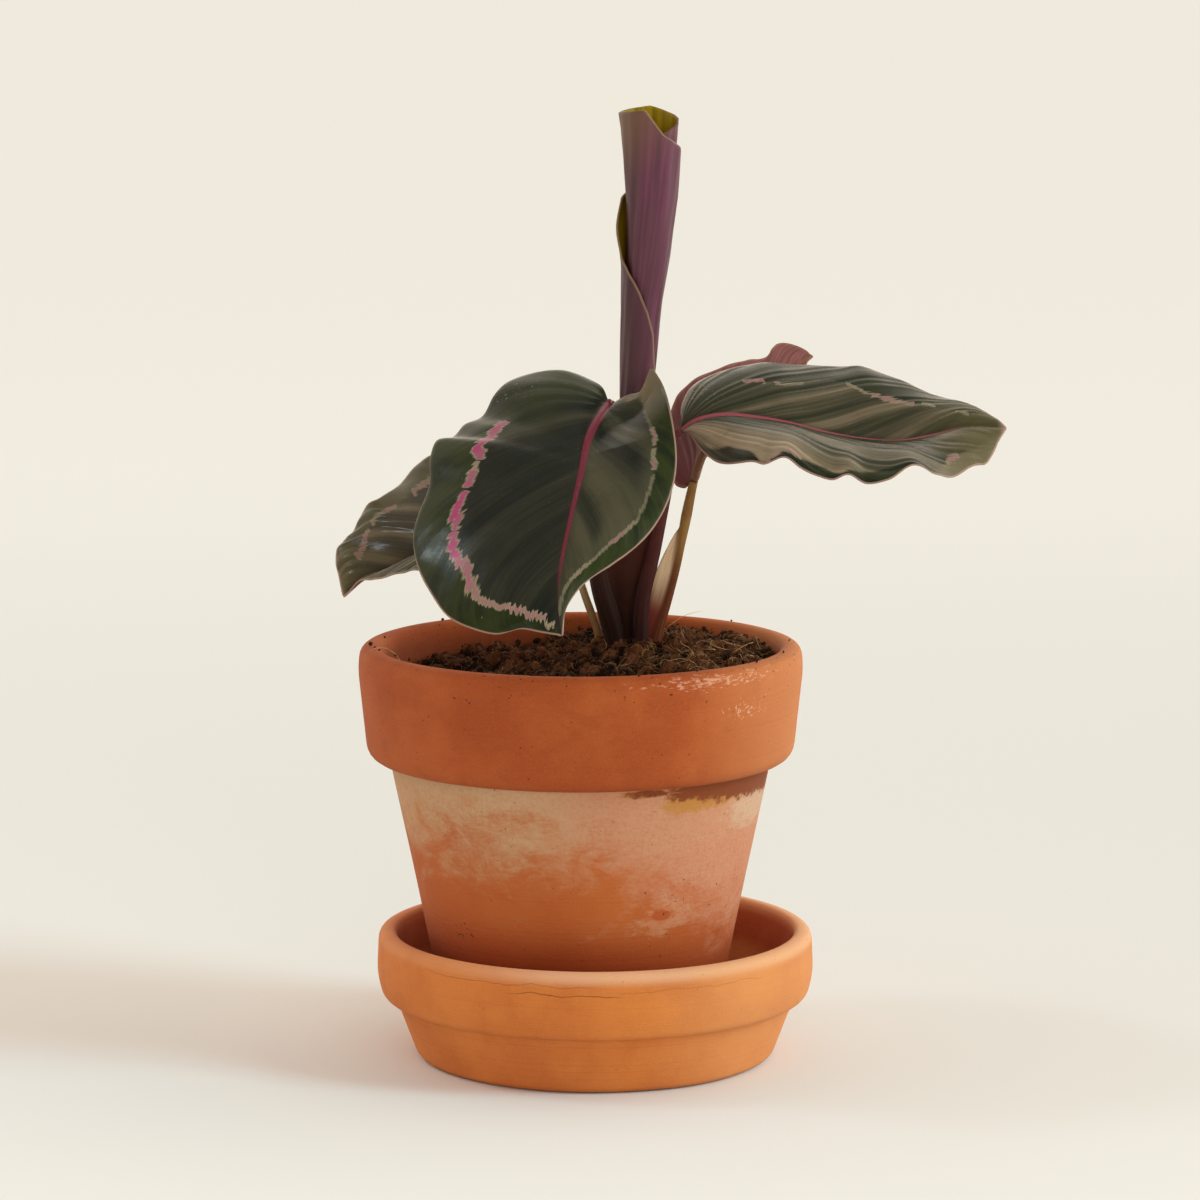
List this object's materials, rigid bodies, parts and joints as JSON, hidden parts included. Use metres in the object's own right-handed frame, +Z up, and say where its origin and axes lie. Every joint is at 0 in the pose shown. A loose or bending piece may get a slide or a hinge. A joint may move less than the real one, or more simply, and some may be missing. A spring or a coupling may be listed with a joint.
{
  "type": "potted prayer plant",
  "caption": "Young patterned-leaf prayer plant in a tapered terracotta pot that stands on a terracotta saucer.",
  "frame": {"origin": "centre of the saucer's flat underside, on the surface that it stands on", "axes": "+Z up, -Y towards the side that the large front leaf hangs over, +X towards the long right leaf"},
  "size_m": [0.1928, 0.1408, 0.2708],
  "materials": {
    "terracotta_pot": "matte, unglazed, with pale mineral bloom",
    "terracotta_saucer": "matte, unglazed",
    "potting_mix": "dark fibrous coir and crumbs",
    "leaf_blade": "semi-gloss, patterned above and purple beneath",
    "rolled_blade": "satin purple",
    "stalk": "satin maroon to ochre",
    "root": "matte"
  },
  "bodies": {
    "root": {"saucer": "terracotta_saucer", "pot": "terracotta_pot", "soil": "potting_mix", "rhizome": "root", "front_leaf_stalk": "stalk", "rolled_leaf_stalk": "stalk", "right_leaf_stalk": "stalk", "back_leaf_stalk": "stalk", "left_leaf_stalk": "stalk", "front_leaf": "leaf_blade", "right_leaf": "leaf_blade", "left_leaf": "leaf_blade", "back_leaf": "leaf_blade", "rolled_leaf": "rolled_blade"}
  },
  "joints": []
}
